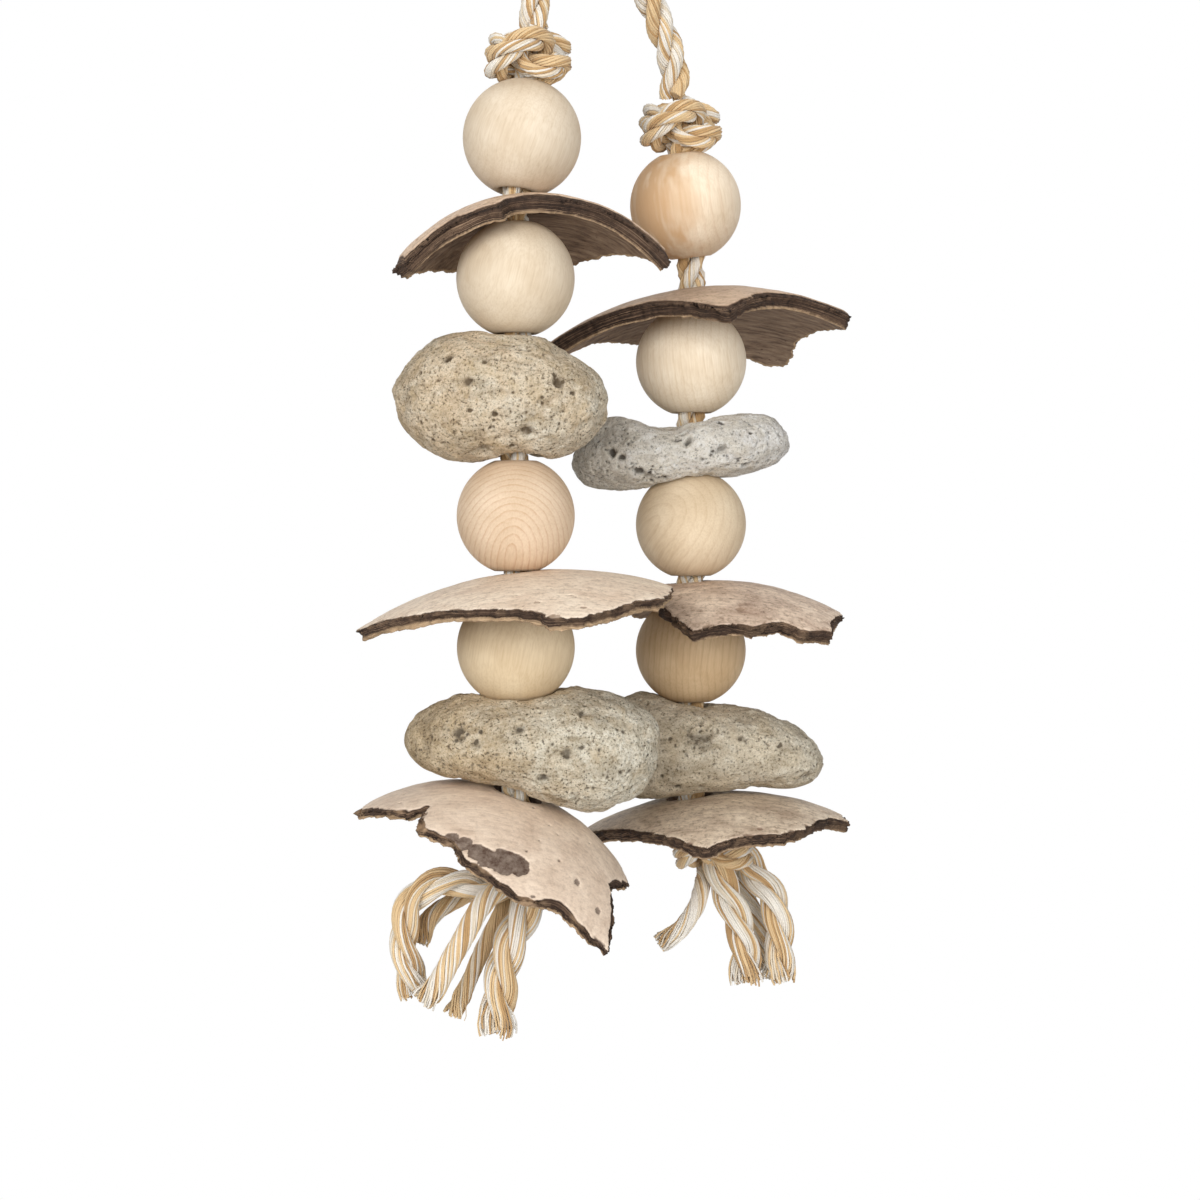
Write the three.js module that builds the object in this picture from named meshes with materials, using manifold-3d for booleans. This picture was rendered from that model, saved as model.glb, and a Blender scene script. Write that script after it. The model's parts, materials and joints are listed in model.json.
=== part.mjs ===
// Hanging bird toy: two knotted cotton ropes threaded with wooden balls, broken coconut shell and pumice.
// Millimetres, +Z up. The origin is the centre of the steel ring that the toy hangs from.
import * as THREE from 'three';
import { mergeVertices } from 'three/addons/utils/BufferGeometryUtils.js';
import Module from 'manifold-3d';

const wasm = await Module();
wasm.setup();

// Rope and knots
const ROPE_DIAMETER = 8;
const ROPE_SIDES = 8;
const ROPE_STEPS = 20;
const TAIL_STEPS = 12;
const KNOT_WIDTH = 26;
const KNOT_HEIGHT = 13;
const RIGHT_END_KNOT_HEIGHT = 17;
const RIGHT_END_KNOT_SHIFT = 6;
const HANGING_KNOT_WIDTH = 32;
const HANGING_KNOT_HEIGHT = 18;
const KNOT_STEPS = 32;

// An overhand knot winds twice round and has three lobes. The rope in it is this share of the knot's size.
const KNOT_WINDS = 2;
const KNOT_LOBES = 3;
const KNOT_SQUEEZE = 0.4;

// Wooden balls
const BALL_DIAMETER = 30;
const BORE_CLEARANCE = 0.5;
const BALL_BORE = ROPE_DIAMETER + 2 * BORE_CLEARANCE;
const BALL_SIDES = 16;
const TOP_BALL_LEAN = 9;
const BALL_HEIGHT = Math.sqrt(BALL_DIAMETER ** 2 - BALL_BORE ** 2);

// Coconut shell
const SHELL_THICKNESS = 4.4;
const SHELL_HOLE_CLEARANCE = 2.5;
const SHELL_HOLE = ROPE_DIAMETER + 2 * SHELL_HOLE_CLEARANCE;
const SHELL_SIDES = 20;
const SHELL_RINGS = 4;

// Pumice stones
const STONE_BORE_CLEARANCE = 1.5;
const STONE_BORE = ROPE_DIAMETER + 2 * STONE_BORE_CLEARANCE;
const STONE_SIDES = 20;
const STONE_RINGS = 10;
const STONE_FULLNESS = 0.8;

// Hanging ring and rope loop
const RING_DIAMETER = 40;
const RING_WIRE = 3.4;
const RING_SIDES = 28;
const LOOP_LENGTH = 26;
const LOOP_STEPS = 18;
const LOOP_BENDS = 8;
const LEG_RISE = 62;
const LEG_STEPS = 8;
const LEG_GAP = 1;
const LEG_SPACING = ROPE_DIAMETER + LEG_GAP;

// Clearances, the slack rope between pieces and how the two strings hang side by side
const SEAT_GAP = 0.3;
const LEFT_SHELL_1_SLACK = 1.5;
const RIGHT_BALL_1_SLACK = 8.4;
const RIGHT_SHELL_1_SLACK = 0.6;
const RIGHT_BALL_2_SLACK = 2;
const RIGHT_BALL_3_SLACK = 1.5;
const STRING_CLEARANCE = 3;
const SPREAD_BEARING = 43.5;
const RIGHT_STRING_DROP = 3.9;

// Densities in grams per cubic millimetre, for the balance of the two strings
const WOOD_DENSITY = 0.0006;
const SHELL_DENSITY = 0.001;
const STONE_DENSITY = 0.001;
const COTTON_DENSITY = 0.0003;

// Each broken shell is a piece of a dome. Its lean is in degrees towards +X and towards +Y, and its broken
// edge is a list of bearings round the rope, from +X by way of +Y, with the reach along the dome.
const LEFT_SHELL_1 = {
  dome: 45,
  lean: [-7, 0],
  edge: [
    [0, 43], [31, 36], [50, 35], [68, 36], [100, 34], [133, 33], [172, 36], [190, 38], [209, 38],
    [222, 28], [250, 20], [259, 20], [265, 14], [305, 17], [333, 23], [341, 31], [344, 40],
    [346, 47], [353, 45],
  ],
};
const LEFT_SHELL_2 = {
  dome: 95,
  lean: [-7, 0],
  edge: [
    [0, 41], [20, 42], [44, 43], [63, 44], [75, 44], [100, 42], [130, 40], [160, 41], [183, 43],
    [196, 42], [223, 37], [253, 37], [270, 40], [279, 44], [281, 47], [290, 48], [304, 46],
    [318, 44], [326, 45], [342, 42],
  ],
};
const LEFT_SHELL_3 = {
  dome: 50,
  lean: [18, -5],
  edge: [
    [10, 35], [35, 30], [65, 27], [95, 26], [130, 28], [160, 36], [178, 43], [184, 43], [201, 36],
    [215, 33], [217, 28], [224, 32], [229, 35], [247, 34], [256, 38], [281, 43], [297, 43],
    [312, 50], [319, 53], [324, 46], [332, 36], [357, 38],
  ],
};
const RIGHT_SHELL_1 = {
  dome: 80,
  lean: [-6.5, 0],
  edge: [
    [0, 45], [19, 42], [41, 44], [51, 51], [57, 55], [63, 53], [67, 49], [95, 40], [124, 34],
    [151, 33], [176, 44], [187, 48], [206, 33], [241, 27], [261, 30], [275, 36], [282, 40],
    [294, 33], [312, 29], [336, 31], [343, 38], [347, 45],
  ],
};
const RIGHT_SHELL_2 = {
  dome: 72,
  lean: [-5, 0],
  edge: [
    [10, 42], [40, 38], [80, 36], [120, 32], [150, 24], [180, 17], [215, 16], [253, 30],
    [267, 42], [283, 40], [290, 43], [303, 42], [308, 47], [321, 49], [329, 45], [350, 43.5],
  ],
};
const RIGHT_SHELL_3 = {
  dome: 78,
  lean: [-8, 0],
  edge: [
    [8, 43], [40, 40], [80, 37], [120, 33], [150, 31], [178, 32], [200, 29], [236, 28], [258, 33],
    [267, 38], [273, 40], [287, 37], [304, 40], [318, 40], [342, 40], [351, 45],
  ],
};

// Each stone is a pebble whose outline, seen from the front, is in shares of half its width and height.
const LEFT_STONE_1 = {
  width: 56,
  height: 34,
  depth: 38,
  shift: -4,
  seats: [15.6, -15.8],
  outline: [
    [1, 0], [0.86, 0.42], [0.6, 0.66], [0.4, 0.92], [-0.1, 0.98], [-0.42, 0.96], [-0.76, 0.72],
    [-1, 0.1], [-0.9, -0.4], [-0.66, -0.8], [-0.3, -1], [0.1, -0.9], [0.5, -0.92], [0.9, -0.6],
  ],
};
const LEFT_STONE_2 = {
  width: 66,
  height: 33,
  depth: 40,
  shift: 4,
  seats: [11],
  outline: [
    [1, 0.25], [0.92, 0.55], [0.55, 0.9], [0.2, 0.98], [-0.1, 0.84], [-0.5, 0.9], [-0.86, 0.6],
    [-1, 0.15], [-0.92, -0.2], [-0.6, -0.48], [-0.25, -0.56], [0.05, -0.8], [0.4, -1],
    [0.7, -0.92], [0.93, -0.55],
  ],
};
const RIGHT_STONE_1 = {
  width: 62,
  height: 21,
  depth: 36,
  shift: -3,
  seats: [8, -5.1],
  outline: [
    [1, 0.3], [0.85, 0.9], [0.5, 1], [0.2, 0.85], [-0.12, 0.66], [-0.26, 0.62], [-0.5, 0.92],
    [-0.75, 0.8], [-1, -0.3], [-0.88, -0.85], [-0.55, -1], [-0.3, -0.95], [0.1, -0.76],
    [0.62, -0.56], [0.92, -0.2],
  ],
};
const RIGHT_STONE_2 = {
  width: 64,
  height: 30,
  depth: 36,
  shift: 5,
  seats: [11.5],
  outline: [
    [1, -0.3], [0.85, 0.2], [0.5, 0.62], [0.05, 0.78], [-0.3, 0.84], [-0.6, 1], [-0.88, 0.7],
    [-1, 0], [-0.88, -0.7], [-0.62, -0.98], [-0.2, -0.9], [0.2, -0.8], [0.45, -0.72],
    [0.85, -0.75],
  ],
};

// Untwisted rope ends: each route runs from under the end knot, as places to the right, back and up.
const LEFT_TAILS = [
  {
    width: 7,
    route: [
      [-8, -3, 0], [-15, -6, 2.5], [-22, -8, 1.5], [-26.5, -8, -3], [-28, -8, -11], [-27, -7, -19],
      [-25, -7, -26],
    ],
  },
  { width: 4.4, route: [[-4, 5, 0], [-10, 4, -4], [-16, 3, -7], [-22, 1, -11], [-25, -1, -17]] },
  {
    width: 5,
    route: [
      [-1, -7, 0], [-7, -11, -4], [-12, -13, -12], [-16, -14, -19], [-20, -14, -26],
      [-23, -14, -29],
    ],
  },
  { width: 4, route: [[1, 5, 0], [-4, 3, -9], [-8, 1, -17], [-12, 0, -26], [-16, 0, -35]] },
  { width: 8.4, route: [[5.5, -1, 0], [2, -3, -8], [-2, -4, -17], [-4, -4, -27], [-5, -4, -38]] },
];
const RIGHT_TAILS = [
  { width: 4.4, route: [[-2, 3, 0], [-3, -4, -3], [-5, -9, -8], [-9, -12, -13], [-15, -13, -17]] },
  { width: 7.6, route: [[3, -6, 0], [6, -8, -7], [8, -8, -14], [9, -8, -25]] },
  { width: 4, route: [[7, 6, 0], [10, 5, -8], [13, 4, -15], [16, 3, -28]] },
  { width: 7.6, route: [[11, 0, 0], [16, -3, -6], [18, -4, -15], [18, -4, -29]] },
];

const WOOD = new THREE.MeshStandardMaterial({ color: '#e4cfae', roughness: 0.6, metalness: 0 });
const SHELL = new THREE.MeshStandardMaterial({ color: '#b0937d', roughness: 0.8, metalness: 0 });
const STONE = new THREE.MeshStandardMaterial({ color: '#b7ae9c', roughness: 0.95, metalness: 0 });
const COTTON = new THREE.MeshStandardMaterial({ color: '#e7dcc4', roughness: 0.9, metalness: 0 });
const STEEL = new THREE.MeshStandardMaterial({ color: '#b9bdc1', roughness: 0.3, metalness: 1 });

const UP = new THREE.Vector3(0, 0, 1);
const DOWN = new THREE.Vector3(0, 0, -1);
const GRID_STEP = 0.5;
const MERGE_DISTANCE = 1e-4;
const radians = THREE.MathUtils.degToRad;

// A geometry with only its shared positions, so that it is one closed surface.
function closed(geometry) {
  geometry.deleteAttribute('normal');
  geometry.deleteAttribute('uv');
  return mergeVertices(geometry, MERGE_DISTANCE);
}

function toSolid(geometry) {
  const mesh = closed(geometry);
  return new wasm.Manifold(new wasm.Mesh({
    numProp: 3,
    vertProperties: new Float32Array(mesh.attributes.position.array),
    triVerts: new Uint32Array(mesh.index.array),
  }));
}

function toGeometry(solid) {
  const mesh = solid.getMesh();
  const geometry = new THREE.BufferGeometry();
  geometry.setAttribute('position', new THREE.BufferAttribute(mesh.vertProperties, 3));
  geometry.setIndex(new THREE.BufferAttribute(mesh.triVerts, 1));
  return geometry;
}

function piece(name, geometry, material) {
  const mesh = new THREE.Mesh(closed(geometry), material);
  mesh.name = name;
  return mesh;
}

// A lathed solid stands on the lathe's Y axis; this turns it upright.
function lathe(profile, sides) {
  return new THREE.LatheGeometry(profile, sides).rotateX(Math.PI / 2);
}

function arc(radius, fromAngle, toAngle, steps, centre = 0) {
  const points = [];
  for (let i = 0; i <= steps; i += 1) {
    const angle = fromAngle + ((toAngle - fromAngle) * i) / steps;
    points.push(new THREE.Vector2(radius * Math.sin(angle), centre + radius * Math.cos(angle)));
  }
  return points;
}

// A bored ball: round outside, with the bore as the inner wall.
function ballGeometry() {
  const radius = BALL_DIAMETER / 2;
  const mouth = Math.asin(BALL_BORE / BALL_DIAMETER);
  const profile = arc(radius, Math.PI - mouth, mouth, BALL_SIDES / 2);
  profile.push(profile[0].clone());
  return lathe(profile, BALL_SIDES);
}

// A dished washer cut to its broken edge by walls that point at the centre of the dome.
function shellGeometry({ dome, lean, edge }) {
  const inner = dome - SHELL_THICKNESS;
  const widest = Math.max(...edge.map(([, reach]) => reach)) + SHELL_THICKNESS;
  const hole = SHELL_HOLE / 2;
  const profile = arc(dome, widest / dome, Math.asin(hole / dome), SHELL_RINGS, -dome);
  profile.push(...arc(inner, Math.asin(hole / inner), widest / dome, SHELL_RINGS, -dome));
  profile.push(profile[0].clone());

  const outline = new THREE.Shape(edge.map(([bearing, reach]) => {
    const slope = Math.tan(reach / dome);
    return new THREE.Vector2(slope * Math.cos(radians(bearing)), slope * Math.sin(radians(bearing)));
  }));
  const cutter = new THREE.ExtrudeGeometry(outline, { depth: dome, steps: 1, bevelEnabled: false });
  const position = cutter.attributes.position;
  const lowest = inner * Math.cos(widest / dome) / 2;
  for (let i = 0; i < position.count; i += 1) {
    const height = lowest + position.getZ(i);
    position.setXYZ(i, position.getX(i) * height, position.getY(i) * height, height - dome);
  }
  const shell = toGeometry(toSolid(lathe(profile, SHELL_SIDES)).intersect(toSolid(cutter)));
  const normal = new THREE.Vector3(Math.tan(radians(lean[0])), Math.tan(radians(lean[1])), 1).normalize();
  const leanTurn = new THREE.Quaternion().setFromUnitVectors(UP, normal);
  return shell.translate(0, 0, SHELL_THICKNESS / 2).applyQuaternion(leanTurn);
}

// A pebble: the outline fills the middle of its depth and draws in round to the front and the back.
function stoneGeometry({ width, height, depth, shift, seats, outline }) {
  const rim = new THREE.CatmullRomCurve3(
    outline.map(([x, z]) => new THREE.Vector3((x * width) / 2, 0, (z * height) / 2)),
    true,
    'centripetal',
  );
  const pebble = new THREE.SphereGeometry(1, STONE_SIDES, STONE_RINGS);
  const position = pebble.attributes.position;
  const along = pebble.attributes.uv;
  for (let i = 0; i < position.count; i += 1) {
    const y = position.getY(i);
    const spread = Math.sqrt(Math.max(0, 1 - y * y)) ** STONE_FULLNESS;
    const point = rim.getPoint(1 - (along.getX(i) % 1));
    position.setXYZ(i, shift + point.x * spread, (y * depth) / 2, point.z * spread);
  }
  const bore = new THREE.CylinderGeometry(STONE_BORE / 2, STONE_BORE / 2, 2 * height, BALL_SIDES);
  let stone = toSolid(pebble).subtract(toSolid(bore.rotateX(Math.PI / 2)));
  for (const level of seats) {
    const hollow = new THREE.SphereGeometry(BALL_DIAMETER / 2 + SEAT_GAP, BALL_SIDES, BALL_SIDES);
    stone = stone.subtract(toSolid(hollow.translate(0, 0, level + (Math.sign(level) * BALL_HEIGHT) / 2)));
  }
  return toGeometry(stone);
}

// A tight overhand knot, with its ends joined: the rope is squeezed so that its turns lie side by side.
function knotGeometry(width, height) {
  const size = width / (KNOT_LOBES + 2 * KNOT_SQUEEZE);
  const rope = size * KNOT_SQUEEZE;
  const knot = new THREE.TorusKnotGeometry(size, rope, KNOT_STEPS, ROPE_SIDES, KNOT_WINDS, KNOT_LOBES);
  return knot.scale(1, 1, height / (size + 2 * rope));
}

// A rope with round ends: a capsule bent along its route.
function ropeGeometry(points, diameter, steps) {
  const curve = new THREE.CatmullRomCurve3(points, false, 'centripetal');
  const length = curve.getLength();
  const { normals, binormals, tangents } = curve.computeFrenetFrames(steps);
  const rope = new THREE.CapsuleGeometry(diameter / 2, length, ROPE_SIDES / 4, ROPE_SIDES, steps);
  const position = rope.attributes.position;
  for (let i = 0; i < position.count; i += 1) {
    const along = position.getY(i) + length / 2;
    const onRope = THREE.MathUtils.clamp(along, 0, length);
    const step = Math.round((steps * onRope) / length);
    const place = curve.getPointAt(step / steps);
    place.addScaledVector(normals[step], position.getX(i));
    place.addScaledVector(binormals[step], -position.getZ(i));
    place.addScaledVector(tangents[step], along - onRope);
    position.setXYZ(i, place.x, place.y, place.z);
  }
  return rope;
}

// Depths of a piece along a direction, over a fine grid of lines that run that way.
function depthMap(mesh, toGrid, pick) {
  mesh.updateWorldMatrix(true, false);
  const { position } = mesh.geometry.attributes;
  const corners = mesh.geometry.index.array;
  const place = toGrid.clone().multiply(mesh.matrixWorld);
  const at = (i) => new THREE.Vector3().fromBufferAttribute(position, corners[i]).applyMatrix4(place);
  const depths = new Map();
  for (let i = 0; i < corners.length; i += 3) {
    const [a, b, c] = [at(i), at(i + 1), at(i + 2)];
    const [ab, ac] = [b.clone().sub(a), c.clone().sub(a)];
    const area = ab.x * ac.y - ac.x * ab.y;
    const [right, top] = [Math.max(a.x, b.x, c.x), Math.max(a.y, b.y, c.y)];
    for (let x = Math.ceil(Math.min(a.x, b.x, c.x)); x <= right; x += 1) {
      for (let y = Math.ceil(Math.min(a.y, b.y, c.y)); y <= top; y += 1) {
        const v = ((x - a.x) * ac.y - ac.x * (y - a.y)) / area;
        const w = (ab.x * (y - a.y) - (x - a.x) * ab.y) / area;
        if (v >= 0 && w >= 0 && v + w <= 1) {
          const depth = a.z + v * ab.z + w * ac.z;
          const line = `${x} ${y}`;
          depths.set(line, pick(depth, depths.get(line) ?? depth));
        }
      }
    }
  }
  return depths;
}

// How far one piece can travel in a direction before it touches another.
function freePath(mover, target, direction) {
  const across = new THREE.Vector3(direction.z, direction.x, direction.y).cross(direction).normalize();
  const along = direction.clone().cross(across);
  const toGrid = new THREE.Matrix4().makeBasis(across, along, direction).transpose();
  toGrid.premultiply(new THREE.Matrix4().makeScale(1 / GRID_STEP, 1 / GRID_STEP, 1));
  const front = depthMap(mover, toGrid, Math.max);
  const stop = depthMap(target, toGrid, Math.min);
  let path = Infinity;
  for (const [line, depth] of front) {
    path = Math.min(path, (stop.get(line) ?? Infinity) - depth);
  }
  return path;
}

// Moves a piece along a direction up to another piece, and leaves the gap between them.
function seat(mover, target, direction, gap) {
  mover.position.addScaledVector(direction, freePath(mover, target, direction) - gap);
}

// A probe the size of the rope's round end shows where a rope stops against a knot.
function ropeEnd(target, x, y, direction) {
  const probe = new THREE.Mesh(closed(new THREE.SphereGeometry(ROPE_DIAMETER / 2, ROPE_SIDES, ROPE_SIDES)));
  probe.position.set(x, y, 0);
  seat(probe, target, direction, SEAT_GAP);
  return probe.position;
}

// One string is stacked from its end knot up, each piece seated on the one below.
function stringGroup(side, { beads, topSlack, knotHeight, knotShift, inward, tails }) {
  const group = new THREE.Group();
  const leanAxis = new THREE.Vector3().crossVectors(UP, inward);
  const leanTurn = new THREE.Quaternion().setFromAxisAngle(leanAxis, radians(TOP_BALL_LEAN));
  const sideways = inward.clone().multiplyScalar(BALL_HEIGHT * Math.sin(radians(TOP_BALL_LEAN)));

  const endKnot = piece(`${side}_end_knot`, knotGeometry(KNOT_WIDTH, knotHeight), COTTON);
  endKnot.position.x = knotShift;
  group.add(endKnot);
  let below = endKnot;
  for (const { name, geometry, material, slack } of beads) {
    const bead = piece(`${side}_${name}`, geometry, material);
    seat(bead, below, DOWN, SEAT_GAP + slack);
    group.add(bead);
    below = bead;
  }

  const topBall = piece(`${side}_ball_1`, ballGeometry().applyQuaternion(leanTurn), WOOD);
  topBall.position.copy(sideways).divideScalar(2);
  seat(topBall, below, DOWN, SEAT_GAP + topSlack);
  const topKnot = piece(`${side}_top_knot`, knotGeometry(KNOT_WIDTH, KNOT_HEIGHT), COTTON);
  topKnot.position.copy(sideways);
  seat(topKnot, topBall, DOWN, SEAT_GAP);
  group.add(topBall, topKnot);

  const mouth = new THREE.Vector3(0, 0, topBall.position.z - BALL_HEIGHT / 2);
  const rope = [
    ropeEnd(endKnot, 0, 0, DOWN),
    mouth.clone().addScaledVector(DOWN, ROPE_DIAMETER),
    mouth,
    topBall.position.clone(),
    ropeEnd(topKnot, sideways.x, sideways.y, UP),
  ];
  group.add(piece(`${side}_rope`, ropeGeometry(rope, ROPE_DIAMETER, ROPE_STEPS), COTTON));

  tails.forEach(({ width, route }, i) => {
    const points = route.map(([x, y, z]) => new THREE.Vector3(x, y, z));
    const tail = piece(`${side}_tail_${i + 1}`, ropeGeometry(points, width, TAIL_STEPS), COTTON);
    tail.position.x = knotShift;
    seat(tail, endKnot, UP, SEAT_GAP);
    group.add(tail);
  });
  return { group, topKnot };
}

function bead(name, geometry, material, slack = 0) {
  return { name, geometry, material, slack };
}

const spread = new THREE.Vector3(Math.cos(radians(SPREAD_BEARING)), Math.sin(radians(SPREAD_BEARING)), 0);

const left = stringGroup('left', {
  topSlack: 0,
  knotHeight: KNOT_HEIGHT,
  knotShift: 0,
  inward: spread.clone(),
  tails: LEFT_TAILS,
  beads: [
    bead('shell_3', shellGeometry(LEFT_SHELL_3), SHELL),
    bead('stone_2', stoneGeometry(LEFT_STONE_2), STONE),
    bead('ball_4', ballGeometry(), WOOD),
    bead('shell_2', shellGeometry(LEFT_SHELL_2), SHELL),
    bead('ball_3', ballGeometry(), WOOD),
    bead('stone_1', stoneGeometry(LEFT_STONE_1), STONE),
    bead('ball_2', ballGeometry(), WOOD),
    bead('shell_1', shellGeometry(LEFT_SHELL_1), SHELL, LEFT_SHELL_1_SLACK),
  ],
});
const right = stringGroup('right', {
  topSlack: RIGHT_BALL_1_SLACK,
  knotHeight: RIGHT_END_KNOT_HEIGHT,
  knotShift: RIGHT_END_KNOT_SHIFT,
  inward: spread.clone().negate(),
  tails: RIGHT_TAILS,
  beads: [
    bead('shell_3', shellGeometry(RIGHT_SHELL_3), SHELL),
    bead('stone_2', stoneGeometry(RIGHT_STONE_2), STONE),
    bead('ball_4', ballGeometry(), WOOD),
    bead('shell_2', shellGeometry(RIGHT_SHELL_2), SHELL),
    bead('ball_3', ballGeometry(), WOOD, RIGHT_BALL_3_SLACK),
    bead('stone_1', stoneGeometry(RIGHT_STONE_1), STONE),
    bead('ball_2', ballGeometry(), WOOD, RIGHT_BALL_2_SLACK),
    bead('shell_1', shellGeometry(RIGHT_SHELL_1), SHELL, RIGHT_SHELL_1_SLACK),
  ],
});

// The strings hang side by side, as near to one another as their widest pieces let them.
right.group.position.z = -RIGHT_STRING_DROP;
let nearest = Infinity;
for (const one of left.group.children) {
  for (const other of right.group.children) {
    nearest = Math.min(nearest, freePath(other, one, spread.clone().negate()));
  }
}
right.group.position.addScaledVector(spread, STRING_CLEARANCE - nearest);

// The centre of mass of the strings, which hangs under the ring.
function balancePoint(groups) {
  const density = new Map([
    [WOOD, WOOD_DENSITY],
    [SHELL, SHELL_DENSITY],
    [STONE, STONE_DENSITY],
    [COTTON, COTTON_DENSITY],
  ]);
  const moment = new THREE.Vector3();
  let total = 0;
  for (const mesh of groups.flatMap((group) => group.children)) {
    mesh.updateWorldMatrix(true, false);
    const { position } = mesh.geometry.attributes;
    const corners = mesh.geometry.index.array;
    const at = (i) => {
      const corner = new THREE.Vector3().fromBufferAttribute(position, corners[i]);
      return corner.applyMatrix4(mesh.matrixWorld);
    };
    for (let i = 0; i < corners.length; i += 3) {
      const [a, b, c] = [at(i), at(i + 1), at(i + 2)];
      const mass = (density.get(mesh.material) * a.dot(b.clone().cross(c))) / 6;
      moment.addScaledVector(a.add(b).add(c), mass / 4);
      total += mass;
    }
  }
  return moment.divideScalar(total);
}

const balance = balancePoint([left.group, right.group]);
const toy = new THREE.Group();
toy.add(left.group, right.group);

// Hanging knot, with one rope leg to each string and a loop through the ring.
const knotPoint = (string) => string.topKnot.getWorldPosition(new THREE.Vector3());
const hangingKnot = piece('hanging_knot', knotGeometry(HANGING_KNOT_WIDTH, HANGING_KNOT_HEIGHT), COTTON);
hangingKnot.position.copy(balance).setZ(Math.max(knotPoint(left).z, knotPoint(right).z) + LEG_RISE);
toy.add(hangingKnot);
for (const [side, string, way] of [['left', left, -1], ['right', right, 1]]) {
  const foot = knotPoint(string);
  const low = ropeEnd(string.topKnot, foot.x, foot.y, DOWN);
  const aside = hangingKnot.position.clone().addScaledVector(spread, (way * LEG_SPACING) / 2);
  const high = ropeEnd(hangingKnot, aside.x, aside.y, UP);
  const bends = [
    low,
    low.clone().addScaledVector(UP, ROPE_DIAMETER),
    high.clone().addScaledVector(DOWN, ROPE_DIAMETER),
    high,
  ];
  toy.add(piece(`${side}_leg`, ropeGeometry(bends, ROPE_DIAMETER, LEG_STEPS), COTTON));
}

const bend = (ROPE_DIAMETER + RING_WIRE) / 2 + SEAT_GAP;
const wire = hangingKnot.position.clone().addScaledVector(UP, LOOP_LENGTH);
const loop = [];
for (let i = 0; i <= LOOP_BENDS; i += 1) {
  const angle = (Math.PI * i) / LOOP_BENDS;
  loop.push(wire.clone().add(new THREE.Vector3(0, bend * Math.cos(angle), bend * Math.sin(angle))));
}
loop.unshift(ropeEnd(hangingKnot, wire.x, wire.y + bend, DOWN));
loop.push(ropeEnd(hangingKnot, wire.x, wire.y - bend, DOWN));
toy.add(piece('hanging_loop', ropeGeometry(loop, ROPE_DIAMETER, LOOP_STEPS), COTTON));

const ringRadius = (RING_DIAMETER - RING_WIRE) / 2;
const ring = new THREE.TorusGeometry(ringRadius, RING_WIRE / 2, ROPE_SIDES, RING_SIDES);
const hangingRing = piece('hanging_ring', ring.rotateX(Math.PI / 2), STEEL);
hangingRing.position.copy(wire).addScaledVector(UP, ringRadius);
toy.add(hangingRing);

toy.position.copy(hangingRing.position).negate();

export default toy;
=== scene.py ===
import json
import math
import random

import bmesh
import bpy
import numpy as np
from mathutils import Euler, Matrix, Vector, noise
from mathutils.bvhtree import BVHTree
from mathutils.geometry import interpolate_bezier
from mathutils.kdtree import KDTree


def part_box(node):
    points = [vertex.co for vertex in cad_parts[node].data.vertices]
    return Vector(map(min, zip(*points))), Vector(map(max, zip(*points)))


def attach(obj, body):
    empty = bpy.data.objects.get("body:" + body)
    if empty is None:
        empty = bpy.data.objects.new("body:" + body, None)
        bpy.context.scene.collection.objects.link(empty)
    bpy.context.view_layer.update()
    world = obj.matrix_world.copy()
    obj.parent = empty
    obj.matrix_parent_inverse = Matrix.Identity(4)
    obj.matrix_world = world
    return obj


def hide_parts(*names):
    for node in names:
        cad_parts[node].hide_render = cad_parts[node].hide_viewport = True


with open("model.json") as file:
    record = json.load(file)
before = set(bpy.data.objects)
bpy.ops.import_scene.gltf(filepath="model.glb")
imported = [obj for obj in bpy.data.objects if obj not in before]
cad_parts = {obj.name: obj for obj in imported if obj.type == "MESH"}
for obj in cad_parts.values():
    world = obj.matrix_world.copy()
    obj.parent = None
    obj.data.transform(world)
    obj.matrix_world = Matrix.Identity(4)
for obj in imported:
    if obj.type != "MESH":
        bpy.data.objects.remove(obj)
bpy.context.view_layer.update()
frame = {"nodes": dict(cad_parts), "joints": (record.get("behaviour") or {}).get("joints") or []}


# ---- Hanging ring ----
# A ring of round steel wire, bent round a former, butt welded on one side and polished.
# The toy hangs from it on a hook or a bar, and the rope loop runs over its lowest part.
def shader(tree, kind, inputs=None, **options):
    """Adds a shader node, sets its options, and fills or joins its inputs."""
    node = tree.nodes.new(kind)
    for option, value in options.items():
        setattr(node, option, value)
    for socket, value in (inputs or {}).items():
        if isinstance(value, bpy.types.NodeSocket):
            tree.links.new(value, node.inputs[socket])
        else:
            node.inputs[socket].default_value = value
    return node


def paint(red, green, blue):
    """A linear colour from the 0 to 255 values that a screen shows."""
    return *(((c / 255 + 0.055) / 1.055) ** 2.4 for c in (red, green, blue)), 1.0


def mixed(tree, amount, first, second, blend="MIX"):
    """A blend of two colours."""
    inputs = {0: amount, 6: first, 7: second}
    return shader(tree, "ShaderNodeMix", inputs, data_type="RGBA", blend_type=blend).outputs[2]


def spread(tree, value, low, high, start=0.0, end=1.0):
    """A value that runs from low to high while the one given runs from start to end."""
    inputs = {"Value": value, "From Min": start, "From Max": end, "To Min": low, "To Max": high}
    return shader(tree, "ShaderNodeMapRange", inputs).outputs["Result"]


def object_coords(tree):
    """The place of each point on the piece."""
    return shader(tree, "ShaderNodeTexCoord").outputs["Object"]


def mottling(tree, coords, scale, detail, roughness=0.5, distortion=0.0):
    """Values that vary at random over the piece."""
    inputs = {"Vector": coords, "Scale": scale, "Detail": detail, "Roughness": roughness,
              "Distortion": distortion}
    return shader(tree, "ShaderNodeTexNoise", inputs).outputs["Fac"]


def new_material(name, **constants):
    """A material with the shader constants given, and its node tree and shader."""
    material = bpy.data.materials.new(name)
    material.use_nodes = True
    tree = material.node_tree
    surface = tree.nodes["Principled BSDF"]
    for socket, value in constants.items():
        surface.inputs[socket.replace("_", " ")].default_value = value
    return material, tree, surface


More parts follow.
